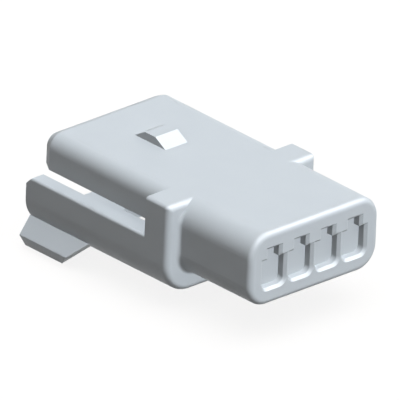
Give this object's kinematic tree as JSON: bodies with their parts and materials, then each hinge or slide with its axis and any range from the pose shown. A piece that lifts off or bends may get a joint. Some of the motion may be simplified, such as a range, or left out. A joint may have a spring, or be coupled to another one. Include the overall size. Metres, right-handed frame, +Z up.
{
  "type": "connector housing",
  "caption": "Moulded wire connector housing with a row of T-shaped entry openings, a collar, a latched tongue over an open tray and splayed feet.",
  "frame": {"origin": "middle of the entry face, at mid width and mid height of the entry block", "axes": "+X out of the entry face along the housing, +Y across the row of ways, +Z up, towards the side with the latch ramp"},
  "size_m": [0.0342, 0.0234, 0.0141],
  "materials": {
    "housing": "smooth moulded, satin"
  },
  "bodies": {
    "root": {"housing": "housing"}
  },
  "joints": []
}
